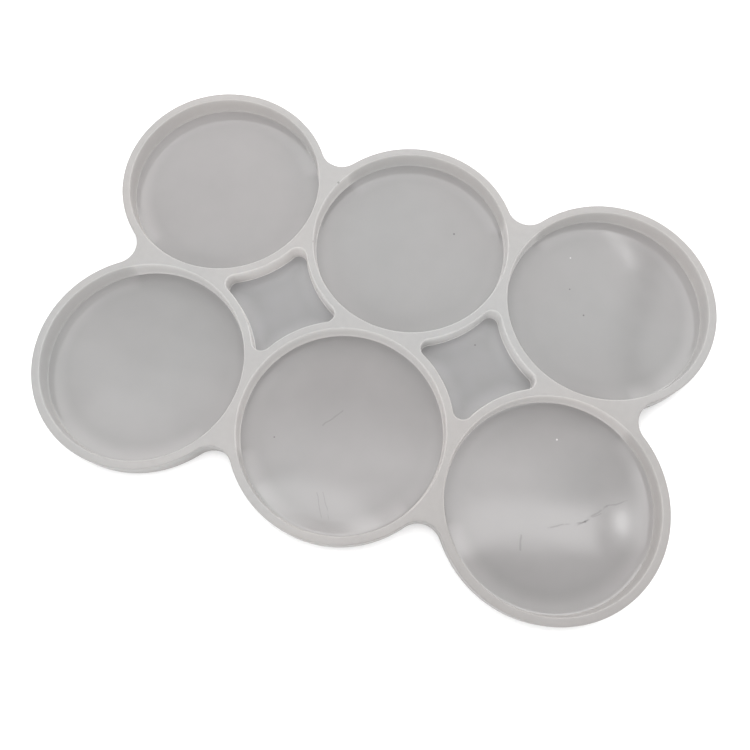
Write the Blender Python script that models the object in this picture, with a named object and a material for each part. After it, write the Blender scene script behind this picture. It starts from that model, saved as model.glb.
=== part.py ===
"""A six-cup silicone mould for casting round resin coasters.

The real mould is one soft casting. Here it is built as the regions that the casting is
made of: six cup walls, six cup floors, and two star-shaped pockets between the cups,
whose floors are halved where the mould folds. Two rows of three cups lie either side
of the fold line, which is the X axis. Metres, +Z up, the origin under the middle.
"""

import math

import bmesh
import bpy

# Driving dimensions.
CUP_DIAMETER = 0.100
CUP_DEPTH = 0.010
FLOOR_THICKNESS = 0.002
RING_WALL = 0.0044
WEB_BETWEEN_COLUMNS = 0.0044
WEB_BETWEEN_ROWS = 0.0044
POCKET_FILLET = 0.0048
NOTCH_FILLET = 0.011
RIM_CHAMFER = 0.0006
GAP = 0.0003

# Smoothness of the round edges.
CIRCLE_STEPS = 72
FILLET_STEPS = 7
SHARP_ANGLE = math.radians(30)

# Worked out from the driving dimensions.
CUP_RADIUS = CUP_DIAMETER / 2
RING_RADIUS = CUP_RADIUS + RING_WALL
HEIGHT = CUP_DEPTH + FLOOR_THICKNESS
HALF_COLUMN = CUP_RADIUS + WEB_BETWEEN_COLUMNS / 2
HALF_ROW = CUP_RADIUS + WEB_BETWEEN_ROWS / 2

# Which column or row a piece is in, counted from the middle of the mould.
COLUMNS = {"left": -1, "middle": 0, "right": 1}
ROWS = {"back": 1, "front": -1}
POCKET_SIDES = {"left": -1, "right": 1}


def clear_scene():
    for thing in list(bpy.data.objects):
        bpy.data.objects.remove(thing, do_unlink=True)


def silicone(name, colour, roughness):
    """A white silicone finish: satin on the walls, shiny on the floors."""
    material = bpy.data.materials.new(name)
    material.use_nodes = True
    shader = material.node_tree.nodes["Principled BSDF"]
    shader.inputs["Base Color"].default_value = (*colour, 1.0)
    shader.inputs["Roughness"].default_value = roughness
    shader.inputs["Metallic"].default_value = 0.0
    return material


def row_hub(name):
    """An empty on the fold line that carries one row of the mould."""
    hub = bpy.data.objects.new(name, None)
    bpy.context.collection.objects.link(hub)
    return hub


def place(name, shape, material, hub, centre):
    """Turns the finished shape into a named object on its row's hub."""
    bmesh.ops.recalc_face_normals(shape, faces=shape.faces)
    mesh = bpy.data.meshes.new(name)
    shape.to_mesh(mesh)
    shape.free()
    mesh.shade_smooth()
    mesh.set_sharp_from_angle(angle=SHARP_ANGLE)
    mesh.materials.append(material)
    piece = bpy.data.objects.new(name, mesh)
    piece.parent = hub
    piece.location = (*centre, 0.0)
    bpy.context.collection.objects.link(piece)


def on_circle(centre, radius, angle):
    return (centre[0] + radius * math.cos(angle), centre[1] + radius * math.sin(angle))


def arc(centre, radius, start, end, steps):
    """Points from one angle to the other, in whichever direction that is."""
    step = (end - start) / steps
    return [on_circle(centre, radius, start + step * index) for index in range(steps + 1)]


def turned(points, angle):
    """The points turned about the cup's axis."""
    cosine, sine = math.cos(angle), math.sin(angle)
    return [(x * cosine - y * sine, x * sine + y * cosine) for x, y in points]


def circle(radius):
    return arc((0.0, 0.0), radius, 0.0, 2 * math.pi, CIRCLE_STEPS)[:-1]


def fillet_reach(ring_radius, fillet, half_pitch):
    """How far a fillet's centre lies along the mid-plane from the line through two cups.

    The fillet touches the rings of both cups, so its centre is one ring radius plus one
    fillet radius from each cup's centre.
    """
    return math.sqrt((ring_radius + fillet) ** 2 - half_pitch**2)


def joined_side(half_pitch, fillet_before, fillet_after):
    """The outline of a ring where it grows into its neighbour at +X, counterclockwise.

    It leaves the ring along one fillet, runs up the mid-plane between the two cups,
    half a gap short of it, and returns to the ring along the other fillet. It comes
    with the two angles at which it leaves and joins the ring.
    """
    reach_before = fillet_reach(RING_RADIUS, fillet_before, half_pitch)
    reach_after = fillet_reach(RING_RADIUS, fillet_after, half_pitch)
    touch_before = math.atan2(reach_before, half_pitch)
    touch_after = math.atan2(reach_after, half_pitch)
    trim_before = math.asin(GAP / 2 / fillet_before)
    trim_after = math.asin(GAP / 2 / fillet_after)
    quarter = math.pi / 2
    points = arc(
        (half_pitch, -reach_before),
        fillet_before,
        math.pi - touch_before,
        quarter + trim_before,
        FILLET_STEPS,
    )
    points += arc(
        (half_pitch, reach_after),
        fillet_after,
        -quarter - trim_after,
        touch_after - math.pi,
        FILLET_STEPS,
    )
    return points, -touch_before, touch_after


def has_cup(column, row):
    return abs(column) <= 1 and abs(row) == 1


def corner_fillet(column, row, corner):
    """A corner between four cups is part of a pocket, and any other is a notch."""
    x_side, y_side = corner
    in_pocket = has_cup(column + x_side, row) and has_cup(column, row + 2 * y_side)
    return POCKET_FILLET if in_pocket else NOTCH_FILLET


def joined_sides(column, row):
    """Each side of a cup that has a neighbour: where it leaves the ring, its points, where it joins."""
    sides = []
    for quarter, (across, along) in enumerate(((1, 0), (0, 1), (-1, 0), (0, -1))):
        if not has_cup(column + across, row + 2 * along):
            continue
        angle = quarter * math.pi / 2
        half_pitch = HALF_COLUMN if across else HALF_ROW
        before = corner_fillet(column, row, (across + along, along - across))
        after = corner_fillet(column, row, (across - along, along + across))
        points, leaves, joins = joined_side(half_pitch, before, after)
        sides.append((angle + leaves, turned(points, angle), angle + joins))
    return sides


def wall_outline(column, row):
    """The outside of one cup's wall, counterclockwise about the cup's own axis."""
    full_turn = 2 * math.pi
    sides = joined_sides(column, row)
    outline = []
    for index, (_, points, joins) in enumerate(sides):
        leaves = sides[(index + 1) % len(sides)][0]
        if leaves <= joins:
            leaves += full_turn
        steps = max(1, round((leaves - joins) / full_turn * CIRCLE_STEPS))
        outline += points
        outline += arc((0.0, 0.0), RING_RADIUS, joins, leaves, steps)[1:-1]
    return outline


def pocket_half_outline():
    """The half of a pocket's floor behind the fold line, counterclockwise about the pocket.

    Its edge keeps one gap to the four rings and to their fillets, and half a gap to the
    fold line.
    """
    ring_radius = RING_RADIUS + GAP
    fillet = POCKET_FILLET - GAP
    reach_along = fillet_reach(ring_radius, fillet, HALF_ROW)
    reach_across = fillet_reach(ring_radius, fillet, HALF_COLUMN)
    touch_along = math.atan2(HALF_ROW, reach_along)
    touch_across = math.atan2(reach_across, HALF_COLUMN)
    trim = math.asin(GAP / 2 / fillet)
    span = 2 * math.pi / CIRCLE_STEPS
    ring_steps = max(2, round((touch_along - touch_across) / span))
    right = arc((HALF_COLUMN - reach_along, 0.0), fillet, trim, touch_along, FILLET_STEPS)
    right += arc(
        (HALF_COLUMN, HALF_ROW),
        ring_radius,
        math.pi + touch_along,
        math.pi + touch_across,
        ring_steps,
    )[1:-1]
    right += arc(
        (0.0, HALF_ROW - reach_across),
        fillet,
        touch_across,
        math.pi / 2,
        FILLET_STEPS,
    )
    left = [(-x, y) for x, y in reversed(right[:-1])]
    return right + left


def add_loop(shape, outline, height):
    return [shape.verts.new((x, y, height)) for x, y in outline]


def add_side(shape, lower, upper):
    """Joins two loops of the same length with a band of faces."""
    for index, corner in enumerate(lower):
        following = (index + 1) % len(lower)
        shape.faces.new((corner, lower[following], upper[following], upper[index]))


def add_cap(shape, *loops):
    """Fills the flat region inside the first loop, less any other loop."""
    edges = []
    for loop in loops:
        edges += [shape.edges.get((loop[index - 1], corner)) for index, corner in enumerate(loop)]
    bmesh.ops.triangle_fill(shape, use_beauty=True, edges=edges)


def cup_wall(column, row):
    """A ring with a straight bore, a chamfered mouth, and its share of the webs."""
    shape = bmesh.new()
    outline = wall_outline(column, row)
    outside = [add_loop(shape, outline, height) for height in (0.0, HEIGHT)]
    bore = [
        add_loop(shape, circle(CUP_RADIUS), 0.0),
        add_loop(shape, circle(CUP_RADIUS), HEIGHT - RIM_CHAMFER),
        add_loop(shape, circle(CUP_RADIUS + RIM_CHAMFER), HEIGHT),
    ]
    add_side(shape, *outside)
    add_side(shape, bore[0], bore[1])
    add_side(shape, bore[1], bore[2])
    add_cap(shape, outside[0], bore[0])
    add_cap(shape, outside[1], bore[2])
    return shape


def flat_floor(outline):
    """A plate of the floor's thickness, lying on the underside."""
    shape = bmesh.new()
    lower = add_loop(shape, outline, 0.0)
    upper = add_loop(shape, outline, FLOOR_THICKNESS)
    add_side(shape, lower, upper)
    add_cap(shape, lower)
    add_cap(shape, upper)
    return shape


def make_cups(wall_finish, floor_finish, hubs):
    for row_name, row in ROWS.items():
        for column_name, column in COLUMNS.items():
            centre = (2 * HALF_COLUMN * column, HALF_ROW * row)
            ending = f"{row_name}_{column_name}"
            place(f"cup_wall_{ending}", cup_wall(column, row), wall_finish, hubs[row_name], centre)
            floor = flat_floor(circle(CUP_RADIUS - GAP))
            place(f"cup_floor_{ending}", floor, floor_finish, hubs[row_name], centre)


def make_pockets(floor_finish, hubs):
    for row_name, row in ROWS.items():
        for side_name, side in POCKET_SIDES.items():
            outline = [(x, y * row) for x, y in pocket_half_outline()]
            name = f"pocket_floor_{row_name}_{side_name}"
            centre = (HALF_COLUMN * side, 0.0)
            place(name, flat_floor(outline), floor_finish, hubs[row_name], centre)


def build():
    clear_scene()
    wall_finish = silicone("silicone_wall", (0.56, 0.55, 0.54), 0.38)
    cup_finish = silicone("silicone_cup_floor", (0.47, 0.47, 0.46), 0.14)
    pocket_finish = silicone("silicone_pocket_floor", (0.41, 0.41, 0.41), 0.22)
    hubs = {row_name: row_hub(f"{row_name}_row") for row_name in ROWS}
    make_cups(wall_finish, cup_finish, hubs)
    make_pockets(pocket_finish, hubs)


build()
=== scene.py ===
# %% [markdown]
# # A silicone mould for six round coasters
#
# The object is one soft, milky casting: six shallow cups, and two star-shaped pockets
# between them. This script loads the plain solids of the engineering model, and builds
# over them the surface that is seen: rounded rims, a fillet where each wall meets its
# floor, shiny floors, satin walls, and the slight lie of a soft tray on a table.

# %% Load the frame
import math

import bmesh
import bpy
import numpy as np
from mathutils import Euler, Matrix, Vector, noise
from mathutils.geometry import delaunay_2d_cdt


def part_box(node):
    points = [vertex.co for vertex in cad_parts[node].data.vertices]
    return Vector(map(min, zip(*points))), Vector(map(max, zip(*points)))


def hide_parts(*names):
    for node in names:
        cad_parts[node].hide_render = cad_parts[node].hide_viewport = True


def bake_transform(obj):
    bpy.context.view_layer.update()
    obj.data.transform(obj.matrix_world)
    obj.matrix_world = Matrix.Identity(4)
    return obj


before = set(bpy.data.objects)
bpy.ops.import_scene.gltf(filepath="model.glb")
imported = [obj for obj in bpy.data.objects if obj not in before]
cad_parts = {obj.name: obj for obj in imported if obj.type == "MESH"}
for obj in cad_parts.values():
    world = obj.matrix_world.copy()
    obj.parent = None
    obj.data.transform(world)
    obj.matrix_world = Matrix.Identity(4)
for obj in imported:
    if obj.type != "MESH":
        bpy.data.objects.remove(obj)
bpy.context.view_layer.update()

# %% [markdown]
# ## Sizes
#
# Every size that the solids already have is read back from them: where the cups stand,
# how wide and deep they are, and how thick the walls are. Only the roundings are chosen
# here. Taking sizes from the frame keeps the visible surface in step with the parts that
# move and collide.

# %% Read the sizes from the solids
COLUMNS = {"left": -1, "middle": 0, "right": 1}
ROWS = {"back": 1, "front": -1}
POCKET_SIDES = {"left": -1, "right": 1}
# The solids keep this gap between a floor and its wall.
PART_GAP = 0.0003
floor_low, floor_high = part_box("cup_floor_back_right")
wall_low, wall_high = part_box("cup_wall_back_right")
CUP_RADIUS = (floor_high.x - floor_low.x) / 2 + PART_GAP
FLOOR_TOP = floor_high.z
RIM_TOP = wall_high.z
HALF_COLUMN = (floor_low.x + floor_high.x) / 4
HALF_ROW = (floor_low.y + floor_high.y) / 2
RING_RADIUS = wall_high.x - 2 * HALF_COLUMN
print(f"cups {2000 * CUP_RADIUS:.1f} mm wide, {1000 * (RIM_TOP - FLOOR_TOP):.1f} deep")
print(f"walls {1000 * (RING_RADIUS - CUP_RADIUS):.2f} mm, pitch {2000 * HALF_COLUMN:.1f}")

# %% Roundings
POCKET_FILLET = 0.0048
NOTCH_FILLET = 0.011
RIM_ROUND = 0.0007
OUTER_ROUND = 0.0006
BOTTOM_ROUND = 0.0004
CORNER_FILLET = 0.0005
# Past the corner, the walls keep a narrow ledge of floor, which the floor's plate meets.
SEAM_LEDGE = 0.0012
# The bore is wider at its mouth by this much, so that a coaster lets go.
MOUTH_DRAFT = 0.0002
print(f"rims rounded to {1000 * RIM_ROUND:.1f} mm, corners to {1000 * CORNER_FILLET:.1f} mm")

# %% [markdown]
# ## Outlines
#
# Seen from above, the wall of one cup is a ring that grows into its neighbours. Between
# two cups the outside of the wall leaves the ring along a fillet that touches both
# rings, so the fillet's centre lies on the plane midway between the cups. Booleans
# could cut this from a sheet, but they leave a mess of thin triangles. Walking round
# the cup and noting, for each direction, where the material ends gives clean rows of
# quads that bend well.
#
# Each direction is one "spoke". A spoke ends on the outside, in a pocket, or on the
# plane that the cup shares with its neighbour, where the two halves are welded.


# %% Helpers for flat outlines
def on_circle(centre, radius, angle):
    """The point of a circle in a direction."""
    return np.array([centre[0] + radius * math.cos(angle), centre[1] + radius * math.sin(angle)])


def turned(point, angle):
    """The point turned about the cup's axis."""
    cosine, sine = math.cos(angle), math.sin(angle)
    return np.array([point[0] * cosine - point[1] * sine, point[0] * sine + point[1] * cosine])


def spaced(start, end, step):
    """Even values from start to end, no further apart than the step, ends included."""
    count = max(1, math.ceil(abs(end - start) / step))
    return np.linspace(start, end, count + 1)


def fillet_reach(fillet, half_pitch):
    """How far along the mid-plane the centre of a fillet that touches both rings lies."""
    return math.sqrt((RING_RADIUS + fillet) ** 2 - half_pitch**2)


notch_reach = fillet_reach(NOTCH_FILLET, HALF_ROW)
print(f"a notch's fillet is centred {1000 * notch_reach:.1f} mm from the line through its cups")


# %% The edge that ends a spoke
# A profile is a list of (distance past the outline, height) pairs, from the flat top
# down. A distance below zero is inside the material.
ROUND_STEPS = 4
BOTTOM_STEPS = 3
WALL_STEPS = 3


def quarter_round(centre_out, centre_up, radius, start, end, steps=ROUND_STEPS):
    """Pairs along a rounding, from one angle in degrees to another."""
    angles = np.radians(np.linspace(start, end, steps + 1))
    return [(centre_out + radius * math.cos(a), centre_up + radius * math.sin(a)) for a in angles]


def upright(distance, start, end):
    """Points between two heights, ends left out."""
    return [(distance, height) for height in np.linspace(start, end, WALL_STEPS + 1)[1:-1]]


over_edge = quarter_round(-OUTER_ROUND, RIM_TOP - OUTER_ROUND, OUTER_ROUND, 90, 0)
onto_table = quarter_round(-BOTTOM_ROUND, BOTTOM_ROUND, BOTTOM_ROUND, 0, -90, BOTTOM_STEPS)
corner_top = FLOOR_TOP + CORNER_FILLET
into_pocket = quarter_round(CORNER_FILLET, corner_top, CORNER_FILLET, 180, 270)
POCKET_SEAM = CORNER_FILLET + SEAM_LEDGE
EDGES = {
    "outside": over_edge + upright(0.0, RIM_TOP - OUTER_ROUND, BOTTOM_ROUND) + onto_table,
    "pocket": over_edge
    + upright(0.0, RIM_TOP - OUTER_ROUND, corner_top)
    + into_pocket
    + [(POCKET_SEAM, FLOOR_TOP), (POCKET_SEAM, 0.0)],
}
print({kind: len(edge) for kind, edge in EDGES.items()}, "points down each edge")

# %% The cup's side of a spoke
# Here a pair is (distance from the cup's axis, height), from the underside up.
CUP_SEAM = CUP_RADIUS - CORNER_FILLET - SEAM_LEDGE
MOUTH_RADIUS = CUP_RADIUS + MOUTH_DRAFT
rim_start = RIM_TOP - RIM_ROUND
BORE = [(CUP_SEAM, 0.0), (CUP_SEAM, FLOOR_TOP)]
BORE += quarter_round(CUP_RADIUS - CORNER_FILLET, corner_top, CORNER_FILLET, -90, 0)
BORE += upright(CUP_RADIUS + MOUTH_DRAFT / 2, corner_top, rim_start)
BORE += quarter_round(MOUTH_RADIUS + RIM_ROUND, rim_start, RIM_ROUND, 180, 90)
print(len(BORE), "points up the bore, the last at radius", round(1000 * BORE[-1][0], 2))

# %% Spokes round one cup
SPOKE_STEP = math.radians(1.5)
FILLET_STEP = math.radians(7)
WEB_STEP = 0.0013


def has_cup(column, row):
    return abs(column) <= 1 and abs(row) == 1


def corner_kind(column, row, corner):
    """A corner between four cups is part of a pocket, and any other is outside."""
    x_side, y_side = corner
    between_four = has_cup(column + x_side, row) and has_cup(column, row + 2 * y_side)
    return "pocket" if between_four else "outside"


def fillet_spokes(kind, half_pitch):
    """Spokes along the fillet after a joined side at +X, from the mid-plane to the ring."""
    fillet = POCKET_FILLET if kind == "pocket" else NOTCH_FILLET
    reach = fillet_reach(fillet, half_pitch)
    touch = math.atan2(reach, half_pitch)
    centre = np.array([half_pitch, reach])
    spokes = []
    for angle in spaced(-math.pi / 2, touch - math.pi, FILLET_STEP):
        point = on_circle(centre, fillet, angle)
        spokes.append({"kind": kind, "point": point, "normal": (centre - point) / fillet})
    return spokes, touch


def web_spokes(before, after):
    """Spokes that end on the mid-plane, between the first spokes of the two fillets."""
    low, high = before["point"], after["point"]
    top = spaced(low[1] + OUTER_ROUND, high[1] - OUTER_ROUND, WEB_STEP)[1:-1]
    low_end = low[1] - EDGES[before["kind"]][-1][0]
    high_end = high[1] + EDGES[after["kind"]][-1][0]
    under = np.linspace(low_end, high_end, len(top) + 2)[1:-1]
    return [
        {"kind": "web", "point": np.array([low[0], y]), "under": np.array([low[0], y_under])}
        for y, y_under in zip(top, under)
    ]


def side_spokes(column, row, across, along):
    """The spokes on one joined side of a cup, and the two angles where the ring resumes."""
    half_pitch = HALF_COLUMN if across else HALF_ROW
    kind_before = corner_kind(column, row, (across + along, along - across))
    kind_after = corner_kind(column, row, (across - along, along + across))
    before, touch_before = fillet_spokes(kind_before, half_pitch)
    after, touch_after = fillet_spokes(kind_after, half_pitch)
    flip = np.array([1.0, -1.0])
    before = [
        {"kind": spoke["kind"], "point": spoke["point"] * flip, "normal": spoke["normal"] * flip}
        for spoke in reversed(before)
    ]
    spokes = before + web_spokes(before[-1], after[0]) + after
    angle = math.atan2(along, across)
    for spoke in spokes:
        for key in {"point", "normal", "under"} & set(spoke):
            spoke[key] = turned(spoke[key], angle)
    return spokes, angle - touch_before, angle + touch_after


def ring_spokes(kind, start, end):
    """Spokes on the ring itself, between two joined sides."""
    normals = [on_circle((0, 0), 1.0, angle) for angle in spaced(start, end, SPOKE_STEP)[1:-1]]
    return [{"kind": kind, "point": RING_RADIUS * normal, "normal": normal} for normal in normals]


def cup_spokes(column, row):
    """The spokes of one cup, counterclockwise, about the cup's own axis."""
    sides = []
    for across, along in ((1, 0), (0, 1), (-1, 0), (0, -1)):
        if has_cup(column + across, row + 2 * along):
            sides.append(side_spokes(column, row, across, along))
    spokes = []
    for index, (side, _, resumes) in enumerate(sides):
        leaves = sides[(index + 1) % len(sides)][1]
        if leaves <= resumes:
            leaves += 2 * math.pi
        spokes += side
        spokes += ring_spokes(side[-1]["kind"], resumes, leaves)
    return spokes


SPOKES = {(column, row): cup_spokes(column, row) for column in (-1, 0, 1) for row in (-1, 1)}
print("spokes round each cup:", {cup: len(spokes) for cup, spokes in SPOKES.items()})

# %% [markdown]
# ## How a soft tray lies
#
# A silicone casting is never quite flat. Its edge lifts a little off the table where it
# was last peeled, and its thin floors are slightly wavy, which shows only in what they
# mirror. Both are smooth functions of the place on the tray, so that pieces which meet
# still meet.

# %% Lift and ripples
# Each lift: where, how high, and how far it spreads along X and Y.
LIFTS = (
    (0.160, 0.003, 0.0022, 0.030, 0.0185),
    (0.052, -0.098, 0.0013, 0.022, 0.018),
    (-0.052, -0.098, 0.0012, 0.022, 0.018),
    (-0.150, 0.100, 0.0009, 0.040, 0.040),
)
RIPPLE_HEIGHT = 0.00009
RIPPLE_LENGTH = 0.034
RIPPLE_SLICE = 0.37


def lift(x, y):
    """How far the tray stands off the table at a place."""
    return sum(
        height * math.exp(-(((x - at_x) / wide) ** 2) - ((y - at_y) / deep) ** 2)
        for at_x, at_y, height, wide, deep in LIFTS
    )


def ripple(x, y):
    """How far a floor stands above or below flat at a place."""
    return RIPPLE_HEIGHT * noise.noise(Vector((x / RIPPLE_LENGTH, y / RIPPLE_LENGTH, RIPPLE_SLICE)))


print(f"the right edge stands {1000 * lift(0.158, 0.0):.1f} mm off the table")

# %% [markdown]
# ## From points to a piece
#
# Every piece is made the same way: a list of points, a list of faces, and which finish
# each face has. The tray bends along the line between its rows. The place of each point
# at rest is stored on the mesh, because the patterns in the finishes have to stay with
# the silicone when it bends.

# %% Make a piece
SMOOTH_BELOW = math.radians(38)
WELD_WITHIN = 1e-6
finishes = {}


def make_piece(name, points, faces, face_finishes, measures):
    """A welded, lifted mesh with its finishes, and the measures that its patterns use."""
    mesh = bpy.data.meshes.new(name)
    mesh.from_pydata([tuple(point) for point in points], [], faces)
    names = sorted(set(face_finishes))
    for finish in names:
        mesh.materials.append(finishes[finish])
    mesh.polygons.foreach_set("material_index", [names.index(f) for f in face_finishes])
    for measure, values in measures.items():
        mesh.attributes.new(measure, "FLOAT", "POINT").data.foreach_set("value", values)
    shape = bmesh.new()
    shape.from_mesh(mesh)
    rim = [corner for corner in shape.verts if corner.is_boundary]
    bmesh.ops.remove_doubles(shape, verts=rim, dist=WELD_WITHIN)
    bmesh.ops.recalc_face_normals(shape, faces=shape.faces)
    open_edges = sum(not edge.is_manifold for edge in shape.edges)
    for corner in shape.verts:
        corner.co.z += lift(corner.co.x, corner.co.y)
    shape.to_mesh(mesh)
    shape.free()
    mesh.shade_smooth()
    mesh.set_sharp_from_angle(angle=SMOOTH_BELOW)
    places = [value for corner in mesh.vertices for value in corner.co]
    mesh.attributes.new("rest_place", "FLOAT_VECTOR", "POINT").data.foreach_set("vector", places)
    piece = bpy.data.objects.new(name, mesh)
    bpy.context.scene.collection.objects.link(piece)
    counts = f"{len(mesh.vertices)} points, {len(mesh.polygons)} faces"
    print(f"{name}: {counts}, {open_edges} open edges")
    return piece


def hang(piece, nodes):
    """Hides the solids that the piece stands for, and bakes its place into its points."""
    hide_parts(*nodes)
    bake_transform(piece)


# %% [markdown]
# ## Reading a material as arithmetic
#
# A finish is a small program: patterns are measured over the surface, mixed, and sent
# to the shader. Wiring that by hand hides the sums, so a small class stands for a link
# in the node tree, and each operator on it adds the node that does that sum.


# %% A link in a node tree
# The share of a line's width that is at full strength.
STROKE_CORE = 0.3


class Link:
    """One output in a material's node tree."""

    def __init__(self, tree, socket=None):
        self.tree = tree
        self.socket = socket

    def node(self, kind, settings=None, sockets=None, output=0):
        """Adds any node: its settings first, then a value or a link for each socket."""
        made = self.tree.nodes.new(kind)
        for name, value in (settings or {}).items():
            setattr(made, name, value)
        for name, value in (sockets or {}).items():
            if isinstance(value, Link):
                self.tree.links.new(value.socket, made.inputs[name])
            else:
                made.inputs[name].default_value = value
        return Link(self.tree, made.outputs[output])

    def maths(self, operation, *values):
        """A sum of numbers."""
        return self.node("ShaderNodeMath", {"operation": operation}, dict(enumerate(values)))

    def __add__(self, other):
        return self.maths("ADD", self, other)

    def __sub__(self, other):
        return self.maths("SUBTRACT", self, other)

    def __rsub__(self, other):
        return self.maths("SUBTRACT", other, self)

    def __mul__(self, other):
        return self.maths("MULTIPLY", self, other)

    __radd__ = __add__
    __rmul__ = __mul__

    def vector_maths(self, operation, *values, output=0):
        """A sum of vectors or colours, of which this link is the first."""
        sockets = dict(enumerate((self, *values)))
        return self.node("ShaderNodeVectorMath", {"operation": operation}, sockets, output)

    def clear_to(self, low, high):
        """0 at one value and 1 at the other, with soft ends."""
        settings = {"interpolation_type": "SMOOTHSTEP"}
        return self.node("ShaderNodeMapRange", settings, {0: self, 1: low, 2: high})

    def distance_to(self, point):
        """How far each spot of the surface is from a point."""
        return self.vector_maths("DISTANCE", point, output="Value")

    def stroke(self, start, end, width):
        """1 along a thin line between two points and 0 beside it."""
        start, end = Vector(start), Vector(end)
        along = end - start
        from_start = self.vector_maths("SUBTRACT", start)
        share = from_start.vector_maths("DOT_PRODUCT", along / along.length_squared, output="Value")
        share = share.node("ShaderNodeClamp", sockets={"Value": share})
        nearest = share.vector_maths("MULTIPLY", along)
        beside = from_start.vector_maths("SUBTRACT", nearest)
        distance = beside.vector_maths("LENGTH", output="Value")
        return distance.clear_to(width, width * STROKE_CORE)

    def spread(self, low, high):
        """This pattern from 0 to 1, stretched between two values."""
        return self * (high - low) + low

    def tinted(self, from_colour, to_colour):
        """A colour between two, by this share."""
        settings = {"data_type": "RGBA", "blend_type": "MIX"}
        return self.node("ShaderNodeMix", settings, {0: self, 6: from_colour, 7: to_colour}, 2)

    def scaled(self, level):
        """This colour, made lighter or darker."""
        return self.node("ShaderNodeVectorMath", {"operation": "SCALE"}, {0: self, "Scale": level})

    def raised(self):
        """The normal of a surface that stands this many metres proud."""
        return self.node("ShaderNodeBump", sockets={"Height": self, "Distance": 1.0})

    def stored(self, measure):
        """A number that was stored on the mesh, point by point."""
        return self.node("ShaderNodeAttribute", {"attribute_name": measure}, output="Fac")

    def noise(self, size, detail=2.0, output="Fac"):
        """A pattern whose patches are about this many metres across, from 0 to 1."""
        settings = {"noise_dimensions": "3D"}
        sockets = {"Vector": self, "Scale": 1 / size, "Detail": detail, "Roughness": 0.5}
        return self.node("ShaderNodeTexNoise", settings, sockets, output)


# %% A new finish
def grey(level):
    """A neutral grey as linear light."""
    return (level, level, level, 1.0)


def new_finish(name, **uniform):
    """A material with its uniform values set on the shader, and where its patterns start."""
    material = bpy.data.materials.new(name)
    material.use_nodes = True
    shader = material.node_tree.nodes["Principled BSDF"]
    for socket, value in uniform.items():
        shader.inputs[socket.replace("_", " ")].default_value = value
    start = Link(material.node_tree)
    place = start.node("ShaderNodeAttribute", {"attribute_name": "rest_place"}, output="Vector")
    finishes[name] = material
    return shader, place


def send(shader, **links):
    """Wires patterns to the shader's sockets."""
    for socket, link in links.items():
        link.tree.links.new(link.socket, shader.inputs[socket.replace("_", " ")])


def cloudy(place):
    """Wide, soft clouds, which shift the tint from one end of the tray to the other."""
    return place.noise(CLOUD_SIZE).clear_to(0.35, 0.65)


def uneven(pattern, amount):
    """A pattern from 0 to 1, turned into a change of level either side of none."""
    return (pattern - 0.5) * amount


SILICONE = {"IOR": 1.41}
CLOUD_SIZE = 0.13
COOL_MILK = (1.010, 1.0, 0.990, 1.0)
WARM_MILK = (1.045, 1.0, 0.975, 1.0)
PINK_MILK = (1.040, 1.0, 0.992, 1.0)
LILAC_MILK = (1.010, 1.0, 1.020, 1.0)
print("silicone bends light by", SILICONE["IOR"])

# %% [markdown]
# ## Marks of use
#
# A used mould has a few hairline scratches from a scraper, specks of dust that cling to
# the soft rubber, and tiny bubbles cast into it. They could be modelled, but they are
# far thinner than any mesh step here, so each is a spot or a line in the finish, drawn
# where the surface comes close enough to it. Noise bends the lines and breaks them up,
# because a scratch in rubber is never straight or even.

# %% Marks of use
# Hairline scratches as (start, end, width), and specks of dust as (place, radius).
SCRATCHES = (
    ((0.1070, -0.0625), (0.1226, -0.0543), 0.00050),
    ((0.1226, -0.0543), (0.1307, -0.0439), 0.00065),
    ((0.1307, -0.0439), (0.1394, -0.0381), 0.00040),
    ((0.1190, -0.0575), (0.1290, -0.0480), 0.00030),
    ((0.0962, -0.0703), (0.0977, -0.0764), 0.00065),
    ((-0.0102, -0.0520), (-0.0031, -0.0421), 0.00050),
    ((-0.0012, -0.0835), (0.0056, -0.0947), 0.00028),
    ((0.0016, -0.0825), (0.0089, -0.0935), 0.00024),
)
FLOOR_DUST = (
    ((0.0195, 0.0678), 0.0007),
    ((0.0857, 0.0575), 0.0005),
    ((0.0961, 0.0459), 0.0006),
    ((-0.0303, -0.0654), 0.0005),
)
FLOOR_BUBBLES = (((0.1001, -0.0209), 0.0006), ((0.0815, 0.0748), 0.0005))
# Thin dark lines down the wall of the front right cup, as (start, end, width).
WALL_LINES = (
    ((0.1472, -0.0264, 0.0104), (0.1519, -0.0368, 0.0084), 0.00022),
    ((0.1519, -0.0368, 0.0084), (0.1541, -0.0482, 0.0060), 0.00022),
    ((0.1500, -0.0309, 0.0062), (0.1532, -0.0420, 0.0050), 0.00016),
)
RIM_DUST = (((-0.0468, 0.0713), 0.0009), ((-0.0472, 0.0350), 0.0008))
POCKET_DUST = (((0.0483, 0.0122), 0.0006),)
SPECK_CORE = 0.4
WANDER = 0.0018
WANDER_SIZE = 0.006


def specks(place, spots, height):
    """1 on a few small spots, and 0 round them."""
    distances = [(place.distance_to((*at, height)), size) for at, size in spots]
    found = [distance.clear_to(size, size * SPECK_CORE) for distance, size in distances]
    return sum(found[1:], found[0])


def lines_on(place, lines):
    """1 along a few thin lines."""
    found = [place.stroke(start, end, width) for start, end, width in lines]
    return sum(found[1:], found[0])


def scratches(place):
    """Hairlines that wander a little from side to side."""
    astray = place.noise(WANDER_SIZE, output="Color")
    wandering = astray.vector_maths("MULTIPLY_ADD", (WANDER,) * 3, place)
    flat = wandering.vector_maths("SUBTRACT", (WANDER / 2,) * 3)
    flat = flat.vector_maths("MULTIPLY", (1.0, 1.0, 0.0))
    return lines_on(flat, [((*start, 0), (*end, 0), width) for start, end, width in SCRATCHES])


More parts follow.
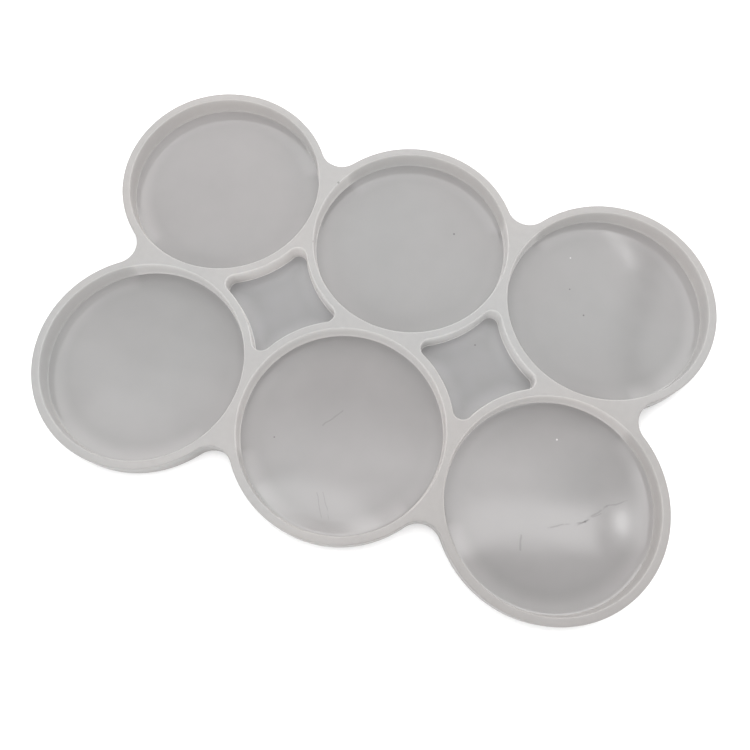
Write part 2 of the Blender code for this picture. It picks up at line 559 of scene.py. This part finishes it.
print(len(SCRATCHES), "scratches,", len(FLOOR_DUST) + len(RIM_DUST) + len(POCKET_DUST), "specks")

# %% [markdown]
# ## Satin walls
#
# The walls and rims come out of a satin part of the master, so they are soft to the
# eye, with broad highlights. Milky silicone lets light pass: a wall with more rubber
# behind it looks paler than a bare ring. Scattering inside the material could give
# this, but on walls this thin it left seams, so the tone is measured instead and painted
# into the colour as light: the walls are painted paler than the rim tops, most where
# they are backed. Stored values say where a wall is backed, where it turns into its
# floor, and where it faces away from the light; the crease at the floor and the foot of
# the outer wall get painted shade. One corner at the front right has a painted shade,
# a touch darker and warmer.

# %% Satin walls
RIM_LEVEL = 0.281
# Painted light: the wall colours are raised above the rim's, for light passing through the milky
# rubber.
THIN_WALL_GLOW = 0.47
BACKED_WALL_GLOW = 0.60
# Painted shade along the crease where a wall meets its floor.
CREASE_SHADE = 0.34
# Painted shade down the outer wall, deepest at its foot on the table.
OUTER_FOOT_SHADE = 0.45
# A painted shade over the front right corner, a touch darker and warmer.
SHADED_CORNER = (0.115, -0.125, RIM_TOP)
SHADED_CORNER_REACH = 0.16
SHADED_CORNER_CORE = 0.03
SHADED_CORNER_DARK = 0.11
SHADED_CORNER_WARMTH = 0.5
RIM_DUST_DARK = 0.15
WALL_LINE_DARK = 0.10
SATIN_PATCH = 0.030
SATIN_HAZE = 0.004
MOTTLE = 0.03
SATIN_RELIEF = 0.00002
shader, place = new_finish("satin_wall", **SILICONE)
backing, inner = place.stored("backing"), place.stored("inner")
crease, outer = place.stored("crease"), place.stored("outer")
patches = place.noise(SATIN_PATCH)
haze = place.noise(SATIN_HAZE)
# Painted light: down the walls the colour is raised above the rim's, most where a wall is backed.
level = backing.spread(THIN_WALL_GLOW - RIM_LEVEL, BACKED_WALL_GLOW - RIM_LEVEL)
level = level * inner + RIM_LEVEL + uneven(patches, MOTTLE) + uneven(haze, MOTTLE)
# Painted shade over the front right corner, fading out from its middle.
painted_shade = place.distance_to(SHADED_CORNER).clear_to(SHADED_CORNER_REACH, SHADED_CORNER_CORE)
# Painted shade: darker in the crease, down the outer wall to its foot, and over the front right
# corner.
level = level * (1 - crease * CREASE_SHADE) * (1 - outer * OUTER_FOOT_SHADE) * (1 - painted_shade * SHADED_CORNER_DARK)
level = level - specks(place, RIM_DUST, RIM_TOP) * RIM_DUST_DARK
level = level - lines_on(place, WALL_LINES) * WALL_LINE_DARK
tint = (cloudy(place) + painted_shade * SHADED_CORNER_WARMTH).tinted(COOL_MILK, WARM_MILK)
send(shader, Base_Color=tint.scaled(level), Roughness=haze.spread(0.33, 0.43))
send(shader, Normal=(haze * SATIN_RELIEF).raised())
print("satin wall:", len(shader.id_data.nodes), "nodes")

# %% [markdown]
# ## Shiny cup floors
#
# Each floor is cast against a polished plate, because it gives the coaster its face. It
# is glossier and greyer than the walls: thin, with the table showing through. Its colour
# is painted lighter near the wall round its edge, a painted glow for the light that leaks
# in from the wall, less where the wall is thick. A fine haze changes the gloss from place
# to place, so that mirrored lamps aren't ruler sharp.

# %% Shiny cup floors
FLOOR_LEVEL = 0.210
EDGE_GLOW_BACKED = 0.030
EDGE_GLOW_THIN = 0.088
EDGE_GLOW_REACH = 0.011
DUST_DARK = 0.12
BUBBLE_LIGHT = 0.25
SCRATCH_DARK = 0.036
SCRATCH_MATT = 0.11
SCRATCH_BREAKS = 0.005
FLOOR_PATCH = 0.045
FLOOR_HAZE = 0.009
shader, place = new_finish("shiny_floor", **SILICONE)
patches = place.noise(FLOOR_PATCH)
haze = place.noise(FLOOR_HAZE, detail=4.0)
# Painted glow: the floor's colour is lighter near its wall, for light leaking in through it.
edge_glow = place.stored("to_wall").clear_to(EDGE_GLOW_REACH, 0.0)
edge_glow = edge_glow * place.stored("backing").spread(EDGE_GLOW_THIN, EDGE_GLOW_BACKED)
lines = scratches(place) * place.noise(SCRATCH_BREAKS).clear_to(0.30, 0.55)
level = uneven(patches, 0.03) + uneven(haze, 0.012) + FLOOR_LEVEL + edge_glow
level = level - lines * SCRATCH_DARK - specks(place, FLOOR_DUST, FLOOR_TOP) * DUST_DARK
level = level + specks(place, FLOOR_BUBBLES, FLOOR_TOP) * BUBBLE_LIGHT
tint = cloudy(place).tinted(COOL_MILK, PINK_MILK)
gloss = haze.spread(0.05, 0.11) + lines * SCRATCH_MATT
send(shader, Base_Color=tint.scaled(level), Roughness=gloss)
print("shiny floor:", len(shader.id_data.nodes), "nodes")

# %% [markdown]
# ## Pocket floors
#
# The star-shaped pockets hold no resin. Their floors are the same thin rubber, cast
# against a duller part of the master, so they are less glossy. Being narrow, they get
# more of the painted glow near their walls, which stands in for the light that leaks in.

# %% Pocket floors
POCKET_LEVEL = 0.209
POCKET_EDGE_GLOW = 0.065
POCKET_EDGE_GLOW_REACH = 0.010
POCKET_PATCH = 0.012
shader, place = new_finish("pocket_floor", **SILICONE)
patches = place.noise(POCKET_PATCH)
# Painted glow: the pocket floor's colour is lighter near its walls, for light leaking in through
# them.
edge_glow = place.stored("to_wall").clear_to(POCKET_EDGE_GLOW_REACH, 0.0) * POCKET_EDGE_GLOW
level = uneven(patches, 0.02) + POCKET_LEVEL + edge_glow
level = level - specks(place, POCKET_DUST, FLOOR_TOP) * DUST_DARK
tint = patches.tinted(COOL_MILK, LILAC_MILK)
send(shader, Base_Color=tint.scaled(level), Roughness=patches.spread(0.16, 0.28))
print("pocket floor:", len(shader.id_data.nodes), "nodes")

# %% [markdown]
# ## The underside
#
# The back of the mould was the open side when it was poured, so it set flat and plain,
# with a slight unevenness. It shows only when the tray is bent or turned over.

# %% The underside
BACK_LEVEL = 0.30
BACK_PATCH = 0.020
BACK_GRAIN = 0.007
BACK_RELIEF = 0.00006
shader, place = new_finish("underside", **SILICONE)
patches = place.noise(BACK_PATCH)
level = uneven(patches, 0.05) + BACK_LEVEL
tint = patches.tinted(COOL_MILK, WARM_MILK)
send(shader, Base_Color=tint.scaled(level), Roughness=patches.spread(0.28, 0.38))
send(shader, Normal=(place.noise(BACK_GRAIN) * BACK_RELIEF).raised())
print("finishes:", sorted(finishes))

# %% [markdown]
# ## The walls
#
# All six rings and the webs between them are one skin on the real casting, and one mesh
# here. Each spoke becomes a column of points: up the bore, over the rim, across the flat
# top, and down its edge. Two columns side by side make a strip of quads.

# %% A spoke's column of points
TOP_STEPS = 3
# The steps of a column at which the bore ends and the flat top ends.
BORE_END = len(BORE) - 1
TOP_END = BORE_END + TOP_STEPS


def place_of(cup):
    """Where a cup's axis stands."""
    return np.array([2 * HALF_COLUMN * cup[0], HALF_ROW * cup[1]])


def column_of(spoke):
    """The points of one spoke, about its cup's axis."""
    point = spoke["point"]
    outward = point / np.linalg.norm(point)
    column = [(*(radius * outward), height) for radius, height in BORE]
    edge = EDGES.get(spoke["kind"])
    top_end = point if edge is None else point + edge[0][0] * spoke["normal"]
    top_start = BORE[-1][0] * outward
    for share in np.linspace(0, 1, TOP_STEPS + 1)[1:]:
        column.append((*(top_start + (top_end - top_start) * share), RIM_TOP))
    if edge is None:
        column.append((*spoke["under"], 0.0))
    else:
        column += [(*(point + out * spoke["normal"]), height) for out, height in edge[1:]]
    return column


print("the bore ends at step", BORE_END, "and the top at step", TOP_END)

# %% [markdown]
# ## Where light gets through
#
# The finishes need to know more than a place. A wall is painted paler with rubber behind
# it, as painted light for what passes through, and gets painted shade in the crease at
# its floor and at its outer foot. Painting that by hand would have to be done again for
# every change of size, so each point of a column works out its own measures from its
# step, and they are stored on the mesh.

# %% The measures of a column
FULLY_BACKED = 0.004
# Painted light: pocket walls are painted paler still, for the light from the open pocket behind
# them.
POCKET_WALL_GLOW = 1.3


def backing_of(spoke):
    """1 where a wall has more silicone or a pocket behind it, and 0 where it's a bare ring."""
    if spoke["kind"] != "outside":
        return 1.0
    beyond = np.linalg.norm(spoke["point"]) - RING_RADIUS
    return min(1.0, beyond / FULLY_BACKED)


def inside_of(step, kind, length):
    """1 down the wall of a cup or a pocket, 0 on the rim's top and outside."""
    if step <= BORE_END:
        return min(1.0, max(0.0, (BORE_END - step) / ROUND_STEPS))
    if kind == "pocket" and TOP_END < step < length - 1:
        return min(1.0, (step - TOP_END) / ROUND_STEPS)
    return 0.0


def outside_of(step, kind, length):
    """0 above the outer wall, growing to 1 at its foot."""
    wall_start = TOP_END + ROUND_STEPS - 1
    if kind != "outside" or step <= wall_start:
        return 0.0
    return ((step - wall_start) / (length - 1 - wall_start)) ** 2


def crease_of(step, kind, length):
    """1 along the corner between a wall and its floor.

    A cup's corner starts at step 1, and a pocket's ends three steps before the last.
    """
    half = ROUND_STEPS / 2
    from_corner = abs(step - 1 - half)
    if kind == "pocket":
        from_corner = min(from_corner, abs(step - length + 3 + half))
    return max(0.0, 1 - from_corner / (half + 1))


def measures_of(spoke, column):
    """Every measure that is stored on the walls, for each point of a column."""
    kind, length = spoke["kind"], len(column)
    behind = POCKET_WALL_GLOW if kind == "pocket" else 1.0
    return {
        "backing": [backing_of(spoke)] * len(BORE) + [behind] * (length - len(BORE)),
        "inner": [inside_of(step, kind, length) for step in range(length)],
        "outer": [outside_of(step, kind, length) for step in range(length)],
        "to_wall": [max(0.0, CUP_RADIUS - np.hypot(x, y)) for x, y, _ in column],
        "crease": [crease_of(step, kind, length) for step in range(length)],
    }


sample = SPOKES[1, 1][0]
print("measures at each point:", sorted(measures_of(sample, column_of(sample))))


# %% Build the walls
def finish_at(step, kind, length):
    """Which finish a strip of the column has. A strip next to a seam is a floor's ledge."""
    if step == length - 1:
        return "underside"
    if step == 1:
        return "shiny_floor"
    if kind == "pocket" and step == length - 3:
        return "pocket_floor"
    return "satin_wall"


def strip_faces(here, there, kinds_here):
    """The quads between two columns, with the step of each. The last closes the underside."""
    last = TOP_END + 1 if "web" in kinds_here else len(here)
    faces = [(here[i], there[i], there[i + 1], here[i + 1]) for i in range(last - 1)]
    steps = list(range(last - 1)) + [len(here) - 1]
    return faces + [(here[-1], there[-1], there[0], here[0])], steps


def build_walls():
    """All the columns of all six cups, joined into strips and welded."""
    points, faces, kinds = [], [], []
    measures = {}
    for cup, spokes in SPOKES.items():
        centre = place_of(cup)
        columns = []
        for spoke in spokes:
            column = column_of(spoke)
            columns.append(range(len(points), len(points) + len(column)))
            points += [(x + centre[0], y + centre[1], z) for x, y, z in column]
            for measure, values in measures_of(spoke, column).items():
                measures.setdefault(measure, []).extend(values)
        for index, here in enumerate(columns):
            after = (index + 1) % len(columns)
            kind = spokes[index]["kind"]
            strip, steps = strip_faces(here, columns[after], {kind, spokes[after]["kind"]})
            faces += strip
            kinds += [finish_at(step, kind, len(here)) for step in steps]
    return make_piece("casting_walls", points, faces, kinds, measures)


walls = build_walls()
cup_names = [f"{row}_{column}" for row in ROWS for column in COLUMNS]
hang(walls, [f"cup_wall_{name}" for name in cup_names])

# %% [markdown]
# ## The floors
#
# Each floor is a thin plate whose edge uses the same points as the wall's ledge, so the
# two close without a gap. Inside that edge, a triangle net with even spacing lets the
# floor ripple and bend, where rings about the centre would bunch up in the middle.

# %% A net inside an edge
NET_STEP = 0.0026
EDGE_CLEAR = 0.0013
# What the triangulation is asked for: no triangle outside the edge, and this tolerance.
INSIDE_ONLY = 1
SAME_POINT = 1e-7


def directions(centre, points):
    """The angle at which each point lies, seen from the centre."""
    return np.arctan2(points[:, 1] - centre[1], points[:, 0] - centre[0])


def read_round(edge, values, centre, points):
    """Values given along an edge, read off in the direction of each point."""
    angles = directions(centre, edge)
    order = np.argsort(angles)
    turn = directions(centre, points)
    return np.interp(turn, angles[order], np.asarray(values)[order], period=2 * math.pi)


def triangle_grid(low, high):
    """Evenly spaced points over a rectangle, every other row shifted by half a step."""
    grid = []
    for index, y in enumerate(np.arange(low[1], high[1], NET_STEP * math.sqrt(3) / 2)):
        shift = NET_STEP / 2 * (index % 2)
        grid += [(x, y) for x in np.arange(low[0] + shift, high[0], NET_STEP)]
    return np.array(grid)


def distance_to_edge(points, edge):
    """How far each point is from the nearest side of a closed edge."""
    along = np.roll(edge, -1, axis=0) - edge
    gaps = points[:, None, :] - edge[None]
    share = np.clip((gaps * along).sum(2) / (along**2).sum(1), 0, 1)
    return np.linalg.norm(gaps - share[..., None] * along, axis=2).min(1)


def net_inside(edge, centre):
    """Points inside an edge, the triangles that join them to it, and how far in each is."""
    grid = triangle_grid(edge.min(0), edge.max(0))
    away = distance_to_edge(grid, edge)
    limit = read_round(edge, np.linalg.norm(edge - centre, axis=1), centre, grid)
    kept = (away > EDGE_CLEAR) & (np.linalg.norm(grid - centre, axis=1) < limit)
    flat = [Vector(point) for point in np.vstack([edge, grid[kept]])]
    sides = [(index, (index + 1) % len(edge)) for index in range(len(edge))]
    net = delaunay_2d_cdt(flat, sides, [], INSIDE_ONLY, SAME_POINT)
    points = np.array([tuple(point) for point in net[0]])
    return points, net[2], np.append(np.zeros(len(edge)), away[kept])


print(f"net of {1000 * NET_STEP:.1f} mm, {1000 * EDGE_CLEAR:.1f} mm clear of the edge")

# %% Build a floor
# The ripples fade out over this distance, so that the edge stays level with the ledge.
FADE = 0.006


def build_floor(name, finish, edge, centre, edge_backing):
    """A plate with a rippled top, a flat underside, and a band of quads round its edge."""
    flat, triangles, away = net_inside(edge, centre)
    count = len(flat)
    fade = np.clip(away / FADE, 0, 1) ** 2
    points = [(x, y, FLOOR_TOP + ripple(x, y) * share) for (x, y), share in zip(flat, fade)]
    points += [(x, y, 0.0) for x, y in flat]
    faces = [tuple(triangle) for triangle in triangles]
    kinds = [finish] * len(faces)
    faces += [tuple(corner + count for corner in reversed(triangle)) for triangle in triangles]
    kinds += ["underside"] * len(triangles)
    for index in range(len(edge)):
        after = (index + 1) % len(edge)
        faces.append((index, index + count, after + count, after))
        kinds.append("underside")
    measures = {
        "to_wall": np.tile(away + SEAM_LEDGE + CORNER_FILLET, 2),
        "backing": np.tile(read_round(edge, edge_backing, centre, flat), 2),
    }
    return make_piece(name, points, faces, kinds, measures)


# %% [markdown]
# ## Six cup floors and two pocket floors
#
# A cup's floor takes its edge from its own spokes. A pocket's edge runs over four cups,
# so its points are collected from all of them and sorted round the pocket's middle.

# %% The six cup floors
for row_name, row in ROWS.items():
    for column_name, column in COLUMNS.items():
        centre = place_of((column, row))
        outward = [spoke["point"] / np.linalg.norm(spoke["point"]) for spoke in SPOKES[column, row]]
        edge = np.array([centre + CUP_SEAM * direction for direction in outward])
        name = f"floor_{row_name}_{column_name}"
        edge_backing = [backing_of(spoke) for spoke in SPOKES[column, row]]
        floor = build_floor(name, "shiny_floor", edge, centre, edge_backing)
        hang(floor, [f"cup_{name}"])

# %% The two pocket floors
for side_name, side in POCKET_SIDES.items():
    centre = np.array([HALF_COLUMN * side, 0.0])
    edge = {}
    for cup, spokes in SPOKES.items():
        for spoke in spokes:
            if spoke["kind"] != "pocket":
                continue
            spot = place_of(cup) + spoke["point"] + POCKET_SEAM * spoke["normal"]
            if np.linalg.norm(spot - centre) < HALF_COLUMN:
                angle = math.atan2(spot[1] - centre[1], spot[0] - centre[0])
                # Rounded, so that a point that two cups share is kept once.
                edge[round(angle % (2 * math.pi), 5)] = spot
    edge = np.array([edge[angle] for angle in sorted(edge)])
    floor = build_floor(f"pocket_{side_name}", "pocket_floor", edge, centre, np.ones(len(edge)))
    hang(floor, [f"pocket_floor_{row}_{side_name}" for row in ROWS])

# %% [markdown]
# ## The table
#
# The tray lies on a plain, matt, almost white table, just under its lowest point. The
# table has a touch of light of its own, so that far off it fades into the white room.

# %% The table
HALF_TABLE = 40.0
TABLE_TOP = -0.00005
PAINT = {
    "Base Color": grey(0.9),
    "Roughness": 1.0,
    "Specular IOR Level": 0.0,
    "Emission Color": grey(1.0),
    "Emission Strength": 0.1,
}
corners = [
    (HALF_TABLE * across, HALF_TABLE * along, TABLE_TOP)
    for across, along in ((-1, -1), (1, -1), (1, 1), (-1, 1))
]
table_mesh = bpy.data.meshes.new("table")
table_mesh.from_pydata(corners, [], [(0, 1, 2, 3)])
table_top = bpy.data.objects.new("table_top", table_mesh)
bpy.context.scene.collection.objects.link(table_top)
paint = bpy.data.materials.new("pale_table")
paint.use_nodes = True
for socket, value in PAINT.items():
    paint.node_tree.nodes["Principled BSDF"].inputs[socket].default_value = value
table_mesh.materials.append(paint)
print(f"table {2 * HALF_TABLE:.0f} m across")

# %% [markdown]
# ## The lights
#
# Soft light from all round a white room, and bright panels overhead. The panels do two
# jobs: they light the rims, and the shiny floors mirror them. A floor lying flat
# mirrors a part of the ceiling that is pushed away from the camera, and the cups near
# the camera mirror a long strip lamp, with a small window at its right. A fading edge
# on each panel keeps the mirrored shapes soft. A last panel in front lights the walls
# that the ceiling only grazes.

# %% Lamps and panels
FEATHER_LAYERS = 4
LAYER_GAP = 0.001


def lamp(name, place, size, brightness, turn):
    """A rectangular lamp of a given brightness, which its size doesn't change."""
    light = bpy.data.lights.new(name, "AREA")
    light.shape = "RECTANGLE"
    light.size, light.size_y = size
    light.energy = brightness * math.pi * size[0] * size[1]
    thing = bpy.data.objects.new(name, light)
    thing.location = place
    thing.rotation_euler = turn
    thing.visible_camera = False
    bpy.context.scene.collection.objects.link(thing)


def panel(name, place, size, brightness, feather=0.0, turn=0.0, aim=None):
    """A panel that faces straight down, or at the point aimed at.

    A feathered panel is a few lamps inside each other, so that its edge fades.
    """
    layers = FEATHER_LAYERS if feather else 1
    rotation = Euler((0, 0, math.radians(turn)))
    if aim is not None:
        rotation = (Vector(aim) - Vector(place)).to_track_quat("-Z", "Y").to_euler()
    for layer in range(layers):
        spread = feather * (2 * (layer + 0.5) / layers - 1)
        grown = [side + spread for side in size]
        above = (place[0], place[1], place[2] + layer * LAYER_GAP)
        lamp(f"{name}_{layer}", above, grown, brightness / layers, rotation)


print(FEATHER_LAYERS, "lamps in a feathered panel")

# %% The white room and its panels
room = bpy.data.worlds.new("room")
bpy.context.scene.world = room
room.use_nodes = True
room.node_tree.nodes["Background"].inputs["Color"].default_value = grey(1.0)
room.node_tree.nodes["Background"].inputs["Strength"].default_value = 1.0
# Each panel has a name, a place, a width and depth, and a brightness beside the room's 1.
panel("ceiling_left", (-0.370, 0.82, 1.0), (1.36, 0.98), 2.4, feather=0.06)
panel("ceiling_right", (0.585, 0.82, 1.0), (0.48, 0.98), 2.4, feather=0.05)
panel("ceiling_streak", (0.262, 0.632, 0.99), (0.105, 0.018), 6.5, turn=-48)
panel("strip_lamp", (0.01, 0.024, 1.0), (0.71, 0.080), 6.2, feather=0.030, turn=14)
panel("strip_halo", (-0.02, 0.096, 1.0), (0.61, 0.120), 3.2, feather=0.110, turn=13)
panel("left_glow", (-0.48, -0.03, 1.0), (0.36, 0.38), 3.6, feather=0.26)
panel("window_glow", (0.404, 0.137, 1.0), (0.062, 0.074), 4.2, feather=0.030, turn=19)
panel("window", (0.393, 0.135, 0.99), (0.020, 0.028), 14.0, feather=0.012, turn=19)
panel("front_fill", (0.0, -1.2, 0.7), (1.4, 0.8), 1.6, aim=(0, 0, 0))
print(len(bpy.data.lights), "lamps in the panels")

# %% [markdown]
# ## The camera
#
# It looks down from nearly above, a little from the front and right, from arm's length.

# %% The camera
CAMERA_PLACE = (0.04270, -0.11833, 0.38251)
CAMERA_TURN = (18.7745, 0.3059, 19.4331)
camera = bpy.data.cameras.new("camera")
camera.lens = 37.7747
camera.sensor_width = 36.0
camera.shift_y = -0.06
stand = bpy.data.objects.new("camera", camera)
stand.location = CAMERA_PLACE
stand.rotation_euler = Euler([math.radians(angle) for angle in CAMERA_TURN])
bpy.context.scene.collection.objects.link(stand)
bpy.context.scene.camera = stand
bpy.context.scene.view_settings.view_transform = "Standard"
print("camera", [round(1000 * part) for part in stand.location], "mm, lens", camera.lens)
